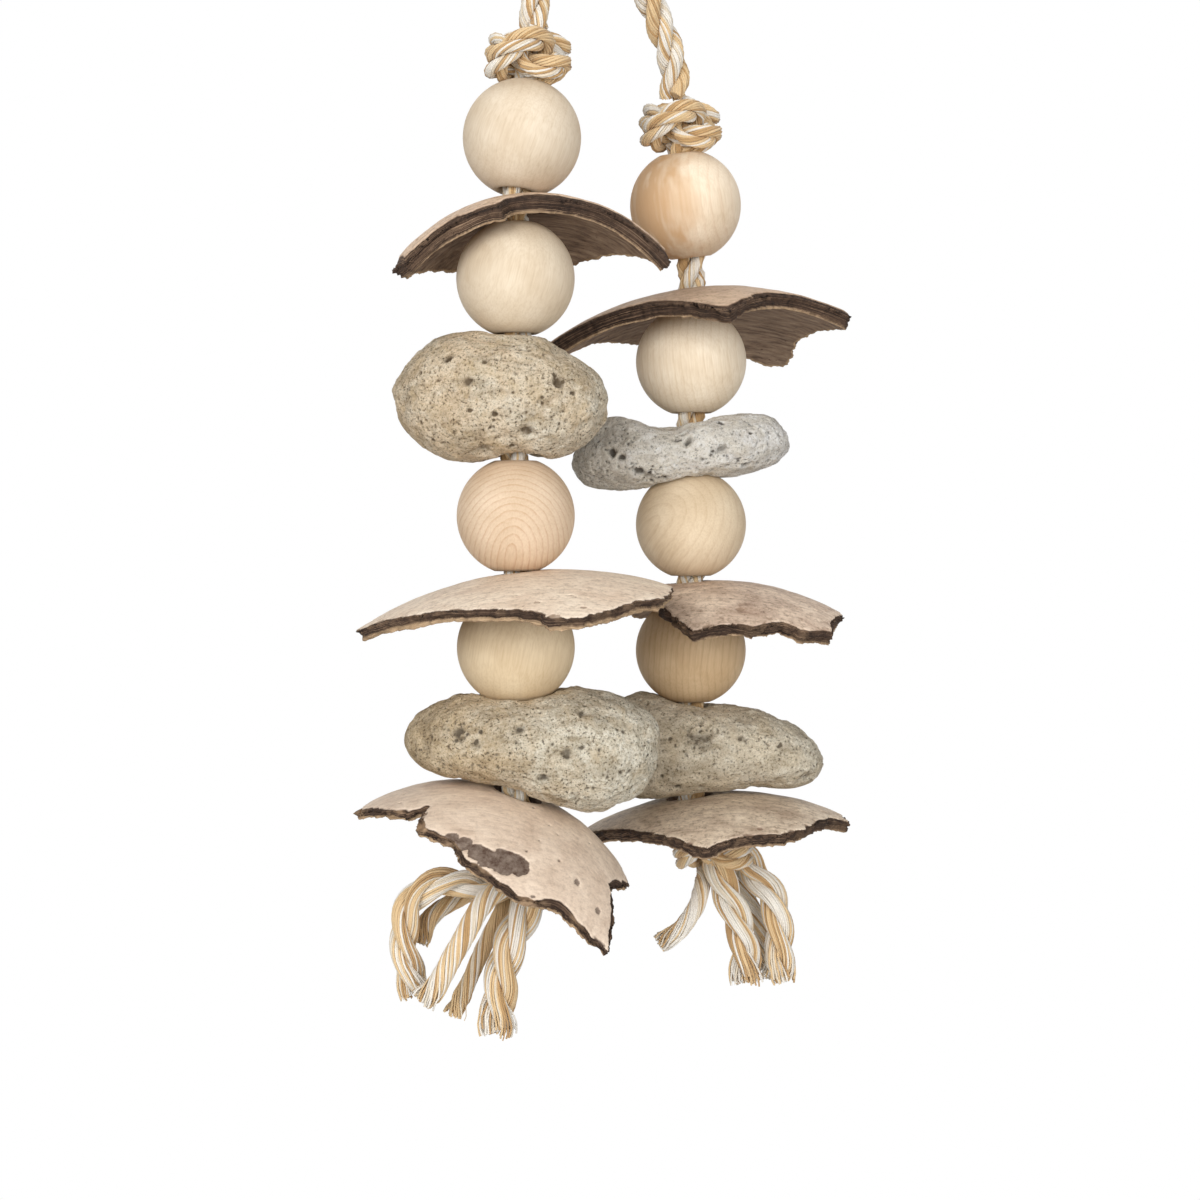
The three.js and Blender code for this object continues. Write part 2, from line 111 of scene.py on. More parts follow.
def dress(tree, surface, colour, height, strength, distance):
    """Joins a colour and a fine relief to a material's surface."""
    relief = shader(tree, "ShaderNodeBump", {"Height": height, "Strength": strength, "Distance": distance})
    tree.links.new(colour, surface.inputs["Base Color"])
    tree.links.new(relief.outputs["Normal"], surface.inputs["Normal"])


def add_piece(name, mesh, body, node, slot, *materials):
    """A finished piece that rides on a body and stands for a node."""
    piece = bpy.data.objects.new(name, mesh)
    bpy.context.scene.collection.objects.link(piece)
    if not mesh.materials:
        for material in materials:
            mesh.materials.append(material)
    mesh.polygons.foreach_set("use_smooth", [True] * len(mesh.polygons))
    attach(piece, body)
    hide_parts(node)
    return piece


def spun_mesh(name, profile, axis, steps):
    """A mesh of revolution of a closed profile, about an axis through the origin."""
    bm = bmesh.new()
    turns = [Matrix.Rotation(math.tau * k / steps, 3, Vector(axis)) for k in range(steps)]
    rows = [[bm.verts.new(turn @ Vector(p)) for p in profile] for turn in turns]
    for row, following in zip(rows, rows[1:] + rows[:1]):
        for k in range(len(profile)):
            bm.faces.new((row[k - 1], row[k], following[k], following[k - 1]))
    bmesh.ops.recalc_face_normals(bm, faces=bm.faces)
    mesh = bpy.data.meshes.new(name)
    bm.to_mesh(mesh)
    bm.free()
    return mesh


steel, tree, surface = new_material("polished_steel", Metallic=1.0)
coords = object_coords(tree)
smudges = mottling(tree, coords, 160, 2)
brushing = mottling(tree, coords, 2600, 3)
steel_colour = mixed(tree, smudges, paint(158, 160, 163), paint(184, 185, 187))
dress(tree, surface, steel_colour, brushing, 0.05, 0.0002)
tree.links.new(spread(tree, smudges, 0.14, 0.32), surface.inputs["Roughness"])

WIRE_SIDES = 24
RING_STEPS = 144
WELD_RISE = 0.09
WELD_WIDTH = 0.0012
ring_low, ring_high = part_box("hanging_ring")
ring_wire = (ring_high.y - ring_low.y) / 2
ring_radius = (ring_high.x - ring_low.x) / 2 - ring_wire
wire_profile = [(ring_radius + ring_wire * math.cos(a), ring_wire * math.sin(a), 0)
                for a in np.linspace(0, math.tau, WIRE_SIDES, endpoint=False)]
ring_mesh = spun_mesh("hanging_ring_mesh", wire_profile, (0, 1, 0), RING_STEPS)
for vertex in ring_mesh.vertices:
    middle = Vector((vertex.co.x, 0, vertex.co.z)).normalized() * ring_radius
    from_weld = (middle - Vector((-ring_radius, 0, 0))).length
    swelling = 1 + WELD_RISE * math.exp(-(from_weld / WELD_WIDTH) ** 2)
    vertex.co = middle + (vertex.co - middle) * swelling
add_piece("steel_ring", ring_mesh, "ring", "hanging_ring", "steel", steel)


# ---- Rope loop, hanging knot and the two legs ----
# Three-ply twisted cotton rope, 8 mm thick, of undyed white and tan yarns. It goes over the ring's wire
# as a loop, is tied in a thick overhand knot, and leaves it as two legs, one for each string.
BLACK = (0, 0, 0)
WHITE = (255, 255, 255)


def ramp(tree, value, *stops):
    """Colours by value: each stop is a place and the colour that a screen shows there."""
    node = shader(tree, "ShaderNodeValToRGB", {"Fac": value})
    elements = node.color_ramp.elements
    while len(elements) < len(stops):
        elements.new(0.5)
    for element, (place, colour) in zip(elements, stops):
        element.position = place
        element.color = paint(*colour)
    return node.outputs["Color"]


def shaded(tree, amount, colour, value, *stops):
    """A colour darkened by the colours of a ramp."""
    return mixed(tree, amount, colour, ramp(tree, value, *stops), "MULTIPLY")


def cotton(name, pale, shade):
    """Soft spun cotton yarn with a fuzzy surface."""
    material, tree, surface = new_material(name, Roughness=0.96, Sheen_Weight=0.22, Sheen_Roughness=0.6)
    coords = object_coords(tree)
    fibres = mottling(tree, coords, 3200, 4, 0.7)
    colour = mixed(tree, mottling(tree, coords, 260, 3), paint(*pale), paint(*shade))
    colour = shaded(tree, 0.4, colour, fibres, (0.3, (196, 196, 196)), (0.65, WHITE))
    dress(tree, surface, colour, fibres, 0.5, 0.0003)
    return material


COTTONS = [
    cotton("white_cotton", (252, 247, 238), (240, 231, 216)),
    cotton("cream_cotton", (243, 232, 212), (228, 211, 184)),
    cotton("tan_cotton", (242, 213, 166), (224, 190, 141)),
    cotton("brown_cotton", (212, 174, 120), (186, 146, 98)),
]
CREAM, TAN = 1, 2


def along_route(route):
    """How far along a route each of its points is."""
    return np.r_[0, np.cumsum(np.linalg.norm(np.diff(route, axis=0), axis=1))]


CURVE_STEPS = 24
FEWEST_STEPS = 8


def smooth_route(corners, spacing):
    """Evenly spaced points on one smooth curve through the corners."""
    line = [Vector(c) for c in corners]
    line = [2 * line[0] - line[1], *line, 2 * line[-1] - line[-2]]
    points = [line[1]]
    for a, b, c, d in zip(line, line[1:], line[2:], line[3:]):
        before, span, after = (math.sqrt((q - p).length) for p, q in ((a, b), (b, c), (c, d)))
        leave = ((b - a) / before - (c - a) / (before + span) + (c - b) / span) * span
        arrive = ((c - b) / span - (d - b) / (span + after) + (d - c) / after) * span
        points += interpolate_bezier(b, b + leave / 3, c - arrive / 3, c, CURVE_STEPS)[1:]
    points = np.array(points)
    along = along_route(points)
    even = np.linspace(0, along[-1], max(FEWEST_STEPS, round(along[-1] / spacing)) + 1)
    return np.stack([np.interp(even, along, points[:, k]) for k in range(3)], axis=1)


ASKEW = (0.31, 0.87, 0.38)


def wound(route, radius, lay, start):
    """A line wound round a route, one turn in each lay length. Radius may change along it."""
    along = along_route(route)
    heading = np.gradient(route, axis=0)
    heading /= np.linalg.norm(heading, axis=1)[:, None]
    side = np.cross(heading[0], ASKEW)
    sides = []
    for direction in heading:
        side = side - direction * np.dot(side, direction)
        side /= np.linalg.norm(side)
        sides.append(side)
    sides = np.array(sides)
    angle = (start + math.tau * along / lay)[:, None]
    reach = np.broadcast_to(np.asarray(radius, float), along.shape)[:, None]
    return route + reach * (np.cos(angle) * sides + np.sin(angle) * np.cross(heading, sides))


# Radius of a yarn, the lengths in which yarns and plies make one turn, how far yarns stray from their line when
# they are held and when they are loose, all in metres; the layers of yarn in a frayed end as shares of the
# ply's radius, how far a ply is pressed out of round, and the share of tan yarns in each of the three plies.
YARN = 0.00036
YARN_LAY = -0.017
ROPE_LAY = 0.026
HELD_WANDER = 0.00008
LOOSE_WANDER = 0.0005
FRAY_LAYERS = (1.0, 0.62, 0.25)
PLY_PRESS = 1.04
PLY_TANS = (0.28, 0.88, 0.5)
noise.seed_set(7)


def ply_yarns(route, ply_radius, yarn, rng, tan, lay=YARN_LAY, fray=0.0, flare=0.0):
    """The yarns of one ply, as (points, thickness factors, shade), of which the share given is tan.
    Over the fray length they flare, and they end nearly level, with a few stray fibres."""
    along = along_route(route)
    length = along[-1]
    core = route[:len(route) - int(0.3 * fray / length * len(route))]
    core_thickness = (ply_radius - yarn * 1.35) / yarn
    yarns = [(core, np.full(len(core), core_thickness), TAN if tan > 0.5 else CREAM)]
    for layer in FRAY_LAYERS if fray else FRAY_LAYERS[:1]:
        ring = (ply_radius - yarn) * layer
        count = max(5, int(math.tau * ring / (1.8 * yarn)))
        first = rng.uniform(0, math.tau)
        for k in range(count):
            shade = (TAN if rng.random() < tan else 0) + (1 if rng.random() < 0.4 else 0)
            stray = fray and k % 9 == 4
            left = length - along + rng.uniform(-0.3, 0.3) * fray
            loose = np.clip(1 - left / fray, 0, 1) if fray else np.zeros(len(route))
            reach = ring * (1 + rng.uniform(-0.06, 0.04))
            outward = rng.uniform(-0.1, 1) + (0.4 if stray else 0)
            reach = reach + loose ** 1.5 * outward * flare * layer
            line = wound(route, reach, lay, first + math.tau * (k + rng.uniform(-0.2, 0.2)) / count)
            wander = [noise.noise_vector(Vector(q) * 320 + Vector((k * 7.1, 0, first))) for q in line]
            line = line + np.array(wander) * (HELD_WANDER + LOOSE_WANDER * loose[:, None])
            cut = 0 if stray or k % 4 == 0 else rng.uniform(0, 0.22) * fray
            last = len(route) - int(cut / length * len(route))
            thick = (1 + 0.12 * rng.uniform(-1, 1)) * (1 - (0.65 if stray else 0.15) * loose)
            yarns.append((line[:last], thick[:last], shade))
    return yarns


def rope_yarns(route, diameter, rng, yarn=YARN, lay=ROPE_LAY, yarn_lay=YARN_LAY, fray=0.0, flare=0.0,
               tans=PLY_TANS):
    """The yarns of three plies, of which the middle one is mostly tan, twisted into a rope."""
    ply = diameter / 2 / (1 + 2 / math.sqrt(3))
    yarns = []
    for k, tan in enumerate(tans):
        ply_route = wound(route, ply * 2 / math.sqrt(3), lay, math.tau * k / 3)
        yarns += ply_yarns(ply_route, ply * PLY_PRESS, yarn, rng, tan, yarn_lay, fray, flare)
    return yarns


def add_rope(name, node, body, yarns, yarn=YARN):
    """A finished piece of rope: one mesh from all its yarns."""
    curve = bpy.data.curves.new(node + "_mesh", "CURVE")
    curve.dimensions = "3D"
    curve.bevel_depth = yarn
    curve.bevel_resolution = 1
    curve.use_fill_caps = True
    for material in COTTONS:
        curve.materials.append(material)
    for points, thick, shade in yarns:
        spline = curve.splines.new("POLY")
        spline.points.add(len(points) - 1)
        spline.points.foreach_set("co", np.c_[points, np.ones(len(points))].ravel())
        spline.points.foreach_set("radius", thick)
        spline.material_index = shade
    carrier = bpy.data.objects.new(node + "_mesh", curve)
    bpy.context.scene.collection.objects.link(carrier)
    depsgraph = bpy.context.evaluated_depsgraph_get()
    mesh = bpy.data.meshes.new_from_object(carrier.evaluated_get(depsgraph))
    bpy.data.objects.remove(carrier)
    bpy.data.curves.remove(curve)
    return add_piece(name, mesh, body, node, "cotton_rope")


KNOT_SPACING = 0.0012
KNOT_OPENING = 0.45
KNOT_POINTS = 30


def knot_route(centre, width, height, lead):
    """An overhand knot: a trefoil opened at one lobe, whose two ends leave on the knot's axis."""
    size = width / 3.8
    rise = height / (1.8 * size)
    lobes = []
    for u in np.linspace(KNOT_OPENING, 4 * math.pi - KNOT_OPENING, KNOT_POINTS):
        out = (2 + math.cos(1.5 * u)) / 2
        lobes.append(Vector((math.cos(u) * out, math.sin(u) * out, rise * math.sin(1.5 * u) / 2)) * size)
    upper = [Vector((0, 0, height / 2 + lead)), Vector((0.25 * size, 0.1 * size, height * 0.42))]
    lower = [Vector((0.25 * size, -0.1 * size, -height * 0.42)), Vector((0, 0, -height / 2 - lead))]
    return smooth_route([centre + p for p in upper + lobes + lower], KNOT_SPACING)


ROPE = 0.008
ROPE_SPACING = 0.0013
KNOT_ROPE = 0.0066
HANGING_KNOT_ROPE = KNOT_ROPE + 0.001
hanger_low, hanger_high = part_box("hanging_knot")
hanging_centre = Vector((0, 0, (hanger_low.z + hanger_high.z) / 2))
hanging_route = knot_route(hanging_centre, 0.032, 0.018, 0)
add_rope("hanging_knot_rope", "hanging_knot", "hanger",
         rope_yarns(hanging_route, HANGING_KNOT_ROPE, random.Random(3)))

loop_low, loop_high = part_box("hanging_loop")
loop_bend = (loop_high.y - loop_low.y - ROPE) / 2
loop_arch = [Vector((0, loop_bend * math.cos(a), -ring_radius + loop_bend * math.sin(a)))
             for a in np.linspace(0, math.pi, 9)]
loop_foot = [Vector((0, 0.8 * loop_bend, loop_low.z - 0.006)), Vector((0, loop_bend, loop_low.z + 0.004))]
other_foot = [Vector((0, -p.y, p.z)) for p in reversed(loop_foot)]
loop_route = smooth_route(loop_foot + loop_arch + other_foot, ROPE_SPACING)
add_rope("hanging_loop_rope", "hanging_loop", "hanger", rope_yarns(loop_route, ROPE, random.Random(5)))

joints = {joint["child"]: joint for joint in frame["joints"]}


def joint_place(body):
    """The point that a body turns about, and its axis."""
    return Vector(joints[body]["pos_m"]), Vector(joints[body]["axis"]).normalized()


LEAD = Vector((0, 0, 0.008))
for side in ("left", "right"):
    leg_low, leg_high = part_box(f"{side}_leg")
    ball, ball_axis = joint_place(f"{side}_ball_1")
    foot = ball + ball_axis * ((leg_low.z + ROPE / 2 - ball.z) / ball_axis.z)
    foot.z = leg_low.z + ROPE / 2
    pivot, _ = joint_place(f"{side}_string")
    crown = Vector((pivot.x, pivot.y, leg_high.z - ROPE / 2))
    leg_route = smooth_route([foot, foot + LEAD, crown - LEAD, crown], ROPE_SPACING)
    leg = add_rope(f"{side}_leg_rope", f"{side}_leg", f"{side}_string",
                   rope_yarns(leg_route, ROPE, random.Random(len(side))))


# ---- Top knots, string ropes and end knots ----
# The same rope, tied in an overhand knot over the top ball, threaded down through every bead of the string,
# and tied again under the lowest shell, so that the beads rest on the end knot.
BALL_MOUTH = Vector((0, 0, 0.0143))
STRING_SPACING = 0.0024
KNOT_LEAD = -0.001
# Each knot: its width, its height and how far it sits to the right of the rope, in metres.
KNOTS = {
    "left_top_knot": (0.026, 0.013, 0.0),
    "left_end_knot": (0.026, 0.013, 0.0),
    "right_top_knot": (0.026, 0.013, 0.0),
    "right_end_knot": (0.026, 0.017, 0.006),
}
knot_centres = {}
for side in ("left", "right"):
    ball, ball_axis = joint_place(f"{side}_ball_1")
    below, _ = joint_place(f"{side}_ball_2")
    rope_low, rope_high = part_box(f"{side}_rope")
    bottom = Vector((below.x, below.y, rope_low.z + ROPE / 2))
    mouth = Vector((below.x, below.y, ball.z)) - BALL_MOUTH
    top = ball + ball_axis * ((rope_high.z - ROPE / 2 - ball.z) / ball_axis.z)
    rope_corners = [bottom - LEAD / 2, mouth - LEAD, mouth, ball, top + ball_axis * 0.004]
    rope_route = smooth_route(rope_corners, STRING_SPACING)
    add_rope(f"{side}_string_rope", f"{side}_rope", f"{side}_string",
             rope_yarns(rope_route, ROPE, random.Random(20 + len(side))))
    for knot, across in ((f"{side}_top_knot", top), (f"{side}_end_knot", bottom)):
        width, height, aside = KNOTS[knot]
        knot_low, knot_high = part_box(knot)
        knot_centres[knot] = Vector((across.x + aside, across.y, (knot_low.z + knot_high.z) / 2))
        tied = knot_route(knot_centres[knot], width, height, KNOT_LEAD)
        add_rope(f"{knot}_rope", knot, f"{side}_string", rope_yarns(tied, KNOT_ROPE, random.Random(len(knot))))


# ---- Rope tails ----
# Below each end knot the rope is untwisted into its plies, which hang free with frayed tips.
# The thick tails are three plies that are still twisted together, and the thin ones are single plies.
MM = 0.001
TAIL_YARN = 0.0003
TAIL_LAY = -0.03
SINGLE_PLY = 5.5
PLY_SHARE, PLY_FRAY, PLY_FLARE = 0.53, 0.009, 0.0013
TWIST_SHARE, TWIST_LAY, TWIST_FRAY, TWIST_FLARE = 1.1, 0.06, 0.010, 0.0012
TAIL_SPACING = 0.0012
# Each tail: its width, its share of tan and its corners, which run from under the knot to the right, to the
# back and up, in millimetres.
TAILS = {
    "left": [
        (7.0, 0.9, [(-8, -3, 0), (-15, -6, 2.5), (-22, -8, 1.5), (-26.5, -8, -3), (-28, -8, -11), (-27, -7, -19),
                    (-25, -7, -26)]),
        (4.4, 0.8, [(-4, 5, 0), (-10, 4, -4), (-16, 3, -7), (-22, 1, -11), (-25, -1, -17)]),
        (5.0, 0.7, [(-1, -7, 0), (-7, -11, -4), (-12, -13, -12), (-16, -14, -19), (-20, -14, -26),
                    (-23, -14, -29)]),
        (4.0, 0.9, [(1, 5, 0), (-4, 3, -9), (-8, 1, -17), (-12, 0, -26), (-16, 0, -35)]),
        (8.4, 0.9, [(5.5, -1, 0), (2, -3, -8), (-2, -4, -17), (-4, -4, -27), (-5, -4, -38)]),
    ],
    "right": [
        (4.4, 0.3, [(-2, 3, 0), (-3, -4, -3), (-5, -9, -8), (-9, -12, -13), (-15, -13, -17)]),
        (7.6, 0.85, [(3, -6, 0), (6, -8, -7), (8, -8, -14), (9, -8, -25)]),
        (4.0, 0.4, [(7, 6, 0), (10, 5, -8), (13, 4, -15), (16, 3, -28)]),
        (7.6, 0.85, [(11, 0, 0), (16, -3, -6), (18, -4, -15), (18, -4, -29)]),
    ],
}
for side, tails in TAILS.items():
    knot = knot_centres[f"{side}_end_knot"]
    for number, (width, tan, corners) in enumerate(tails, 1):
        node = f"{side}_tail_{number}"
        tail_low, tail_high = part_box(node)
        corners = [Vector(c) * MM + Vector((knot.x, knot.y, 0)) for c in corners]
        heights = smooth_route(corners, TAIL_SPACING)[:, 2]
        lift = Vector((0, 0, (tail_low.z + tail_high.z) / 2 - (heights.min() + heights.max()) / 2))
        corners = [c + lift for c in corners]
        lead = corners[0] + (corners[0] - corners[1]) * 0.5 + Vector((0, 0, 0.0015))
        route = smooth_route([knot, lead, *corners], TAIL_SPACING)
        rng = random.Random(node)
        diameter = width * MM
        if width > SINGLE_PLY:
            yarns = rope_yarns(route, diameter * TWIST_SHARE, rng, TAIL_YARN, TAIL_LAY, TWIST_LAY, TWIST_FRAY,
                               TWIST_FLARE, [tan * t for t in PLY_TANS])
        else:
            yarns = ply_yarns(route, diameter * PLY_SHARE, TAIL_YARN, rng, tan, TAIL_LAY, PLY_FRAY, PLY_FLARE)
        tail = add_rope(node + "_ply", node, f"{side}_string", yarns, TAIL_YARN)


# ---- Wooden balls ----
# Turned balls of pale unfinished hardwood, 30 mm across, drilled 9 mm for the rope and sanded,
# with a broken edge at each mouth of the bore. Each is cut from the plank its own way, so its grain differs.
BALL = 0.015
BORE = 0.0045
MOUTH = 0.0009
BALL_STEPS = 96


def moved(tree, coords, place=(0, 0, 0), turn=(0, 0, 0), scale=(1, 1, 1), kind="POINT"):
    """Coordinates that are moved, turned and stretched."""
    inputs = {"Vector": coords, "Location": place, "Rotation": turn, "Scale": scale}
    return shader(tree, "ShaderNodeMapping", inputs, vector_type=kind).outputs["Vector"]


def reckoned(tree, operation, first, second, clamp=False):
    """The result of a sum on two values."""
    return shader(tree, "ShaderNodeMath", {0: first, 1: second}, operation=operation, use_clamp=clamp).outputs[0]


def wood(name, centre, turn, pith, pale, dark, lines, depth, stain):
    """Pale hardwood: growth rings about a pith line, fine fibres along it, and a stain where it is darker."""
    material, tree, surface = new_material(name, Roughness=0.62, Specular_IOR_Level=0.32)
    placed = moved(tree, object_coords(tree), centre, turn, kind="TEXTURE")
    off_pith = moved(tree, placed, pith)
    along = moved(tree, off_pith, scale=(1, 1, 0.05))
    rings = shader(tree, "ShaderNodeTexWave",
                   {"Vector": off_pith, "Scale": lines, "Distortion": 2.2, "Detail": 3, "Detail Scale": 0.9,
                    "Detail Roughness": 0.55},
                   wave_type="RINGS", rings_direction="Z", wave_profile="SAW").outputs["Fac"]
    line = ramp(tree, rings, (0.0, BLACK), (0.62, (70, 70, 70)), (0.94, WHITE), (1.0, (40, 40, 40)))
    dashes = mottling(tree, along, 700, 3)
    line = shaded(tree, 0.6, line, dashes, (0.36, (110, 110, 110)), (0.62, WHITE))
    colour = mixed(tree, reckoned(tree, "MULTIPLY", line, depth), pale, dark)
    broad = mottling(tree, placed, 95, 3)
    colour = shaded(tree, 0.8, colour, broad, (0.3, (236, 230, 222)), (0.62, WHITE))
    fibres = mottling(tree, along, 2400, 3)
    colour = shaded(tree, 0.36, colour, fibres, (0.3, (226, 216, 200)), (0.6, WHITE))
    if stain:
        across = shader(tree, "ShaderNodeSeparateXYZ", {"Vector": placed}).outputs["X"]
        nearer = spread(tree, across, 0.0, 1.0, 0.012, -0.009)
        spot = reckoned(tree, "MULTIPLY", mottling(tree, along, 300, 4), nearer)
        mask = ramp(tree, spot, (0.2, BLACK), (0.46, WHITE))
        colour = mixed(tree, reckoned(tree, "MULTIPLY", mask, stain), colour, dark)
    dress(tree, surface, colour, fibres, 0.12, 0.0002)
    return material


# Grain of each ball: turn of its pith line in degrees, the pith's offset in metres, pale and dark wood,
# ring lines and how strongly they show, and the stain.
BALLS = {
    "left_ball_1": ((8, 20, 0), (0.02, 0.01, 0), (232, 216, 193), (216, 195, 165), 150, 0.35, 0),
    "left_ball_2": ((8, 12, 30), (0.03, 0.012, 0), (231, 215, 191), (214, 193, 163), 170, 0.3, 0),
    "left_ball_3": ((62, 0, 6), (0.002, 0.014, 0), (234, 211, 184), (210, 172, 138), 190, 0.7, 0),
    "left_ball_4": ((6, 10, 0), (0.06, 0, 0), (232, 211, 177), (214, 188, 150), 190, 0.3, 0),
    "right_ball_1": ((4, -8, 0), (0.05, 0, 0), (250, 232, 207), (212, 170, 124), 130, 0.22, 0.85),
    "right_ball_2": ((6, -6, 0), (0.05, 0, 0), (244, 229, 206), (223, 201, 166), 160, 0.45, 0),
    "right_ball_3": ((48, 30, 0), (0.010, 0.012, 0), (233, 214, 185), (201, 171, 132), 120, 0.3, 0),
    "right_ball_4": ((5, 4, 0), (0.06, 0, 0), (214, 186, 148), (176, 143, 103), 190, 0.4, 0),
}
half_height = math.sqrt(BALL ** 2 - BORE ** 2)
edge_turn = math.asin((BORE + MOUTH) / BALL)
ball_arc = [(BALL * math.sin(a), 0, BALL * math.cos(a))
            for a in np.linspace(edge_turn, math.pi - edge_turn, 48)]
lip = [(BORE, 0, half_height - 1.5 * MOUTH), (BORE + 0.06 * MOUTH, 0, half_height - 0.9 * MOUTH),
       (BORE + 0.3 * MOUTH, 0, half_height - 0.45 * MOUTH)]
ball_profile = lip + ball_arc + [(x, y, -z) for x, y, z in reversed(lip)]
for node, (turn, pith, pale, dark, lines, depth, stain) in BALLS.items():
    centre, axis = joint_place(node)
    ball_mesh = spun_mesh(node + "_mesh", ball_profile, (0, 0, 1), BALL_STEPS)
    tilt = Vector((0, 0, 1)).rotation_difference(axis).to_matrix().to_4x4()
    ball_mesh.transform(Matrix.Translation(centre) @ tilt)
    finish = wood(node + "_wood", centre, [math.radians(t) for t in turn], pith, paint(*pale), paint(*dark),
                  lines, depth, stain)
    add_piece(node + "_turned", ball_mesh, node, node, "wood", finish)


# ---- Coconut shell pieces ----
# Pieces broken by hand from a ripe coconut shell, about 4.4 mm thick, sanded pale outside and drilled 13 mm.
# The broken edges show the dark layers of the shell, and the inside keeps its brown fibres.
SHELL = 0.0044
DRILLED = 0.0065
SHELL_GRID = 0.00048


def welded_solid(node):
    """A node's solid with its corners joined."""
    bm = bmesh.new()
    bm.from_mesh(frame["nodes"][node].data)
    bmesh.ops.remove_doubles(bm, verts=bm.verts, dist=1e-6)
    bm.normal_update()
    return bm


def fine_copy(node, *steps):
    """An even fine mesh of a node's solid, made by the modifiers given."""
    bm = welded_solid(node)
    solid = bpy.data.meshes.new(node + "_solid")
    bm.to_mesh(solid)
    bm.free()
    carrier = bpy.data.objects.new(node + "_carrier", solid)
    bpy.context.scene.collection.objects.link(carrier)
    for kind, settings in steps:
        modifier = carrier.modifiers.new(kind, kind)
        for setting, value in settings.items():
            setattr(modifier, setting, value)
    bpy.context.view_layer.update()
    depsgraph = bpy.context.evaluated_depsgraph_get()
    mesh = bpy.data.meshes.new_from_object(carrier.evaluated_get(depsgraph))
    bpy.data.objects.remove(carrier)
    bpy.data.meshes.remove(solid)
    return mesh


def eased(value, start, end):
    """0 before start, 1 after end, and smooth between."""
    t = min(1.0, max(0.0, (value - start) / (end - start)))
    return t * t * (3 - 2 * t)


def rough(point, shift, octaves):
    """Natural roughness at a point, from about -1 to 1."""
    return noise.fractal(point + shift, 1.0, 2.0, octaves)


def keep_values(mesh, name, values):
    """Stores a value for each point, for the material to read."""
    mesh.attributes.new(name, "FLOAT", "POINT").data.foreach_set("value", values)


def kept_values(tree, name):
    """The values stored under a name."""
    return shader(tree, "ShaderNodeAttribute", attribute_name=name).outputs["Fac"]


# How squarely a face looks along the dome's radius to be outside or inside, the number of pits on a shell and
# how deep they are, and the depth and reach of chips, bevels, ragged breaks and thinned edges, in metres.
SQUARELY = 0.6
SHELL_PITS = 24
PIT_DEPTH = 0.0004
CHIP_DEPTH, CHIP_REACH = 0.0009, 0.0017
BEVEL_DEPTH = 0.0017
RAGGED_REACH = 0.0012
THINNED_REACH = 0.009
FIBRE_RUN = Vector((110, 420, 160))


def broken_shell(node, dome, lean, rim, lip_start, bevel, seed, spots):
    """A broken piece of shell: a true dome outside and inside, worn spots, and ragged layered edges."""
    rng = random.Random(seed)
    shift = Vector((seed * 3.7, seed * 1.9, 0))
    place, _ = joint_place(node)
    crown = Vector((math.tan(math.radians(lean[0])), math.tan(math.radians(lean[1])), 1)).normalized()
    centre = place - crown * (dome - SHELL / 2)
    bm = welded_solid(node)
    faces = BVHTree.FromBMesh(bm)
    corners = [v.co.copy() for v in bm.verts]
    edges = []
    for face in bm.faces:
        middle = face.calc_center_median()
        across_dome = abs(face.normal.dot((middle - centre).normalized())) < SQUARELY
        if across_dome and (middle.xy - place.xy).length > DRILLED + 0.001:
            edges.append([v.index for v in face.verts])
    bm.free()
    walls = BVHTree.FromPolygons(corners, edges)
    mesh = fine_copy(node, ("REMESH", {"mode": "VOXEL", "voxel_size": SHELL_GRID}))
    outside = [v.co.copy() for v in mesh.vertices if (v.co - centre).length > dome - 0.0006]
    pits = KDTree(SHELL_PITS)
    sizes = []
    for k in range(SHELL_PITS):
        pits.insert(rng.choice(outside), k)
        sizes.append(rng.uniform(0.0003, 0.0007))
    pits.balance()
    depths, torn, lips = [], [], []
    for vertex in mesh.vertices:
        p = vertex.co.copy()
        out = p - centre
        reach = out.length
        out /= reach
        _, normal, _, _ = faces.find_nearest(p)
        facing = normal.dot(out)
        _, across, _, from_edge = walls.find_nearest(p)
        carve = slope = 0.0
        if facing > SQUARELY:
            depth = 0.0
            slope = max(0.0, 1 - from_edge / (bevel * max(0.15, 0.55 + 0.6 * rough(p * 150, shift, 4))))
            _, nearest, gap = pits.find(p)
            pit = PIT_DEPTH * max(0.0, 1 - (gap / sizes[nearest]) ** 2)
            chips = eased(rough(p * 210, shift, 3), 0.1, 0.7) * max(0.0, 1 - from_edge / CHIP_REACH)
            carve = max(pit, CHIP_DEPTH * chips, BEVEL_DEPTH * slope)
            for spot, size, deep in spots:
                off = (p - Vector(spot) * MM).length / MM + 0.55 * rough(p * 420, shift, 3)
                carve = max(carve, deep * MM * (1 - eased(off, size - 0.35, size)))
        elif facing < -SQUARELY:
            depth = 1.0
            carve = 0.00024 * rough(p * FIBRE_RUN, shift, 3)
        else:
            depth = min(1.0, max(0.0, (dome - reach) / SHELL))
        reach = dome - depth * SHELL * (rim + (1 - rim) * eased(from_edge, 0, THINNED_REACH))
        near = max(0.0, 1 - from_edge / RAGGED_REACH)
        layer = noise.noise(Vector((depth * 6.5, p.x * 65, p.y * 65)) + shift)
        ragged = 0.0009 * rough(p * 420, shift, 4) + 0.0008 * layer
        lumps = 0.0002 * rough(p * 95, shift, 3)
        vertex.co = centre + out * (reach + lumps - carve) + across * (near * ragged)
        depths.append(depth + (carve / SHELL if depth < 0.5 else 0.0))
        torn.append(max(near, eased(slope, 0.05, 0.35)))
        lips.append(eased(depth + 0.12 * layer, lip_start, lip_start + 0.11) * eased(near, 0.3, 0.55))
    keep_values(mesh, "depth", depths)
    keep_values(mesh, "torn", torn)
    keep_values(mesh, "lip", lips)
    return mesh


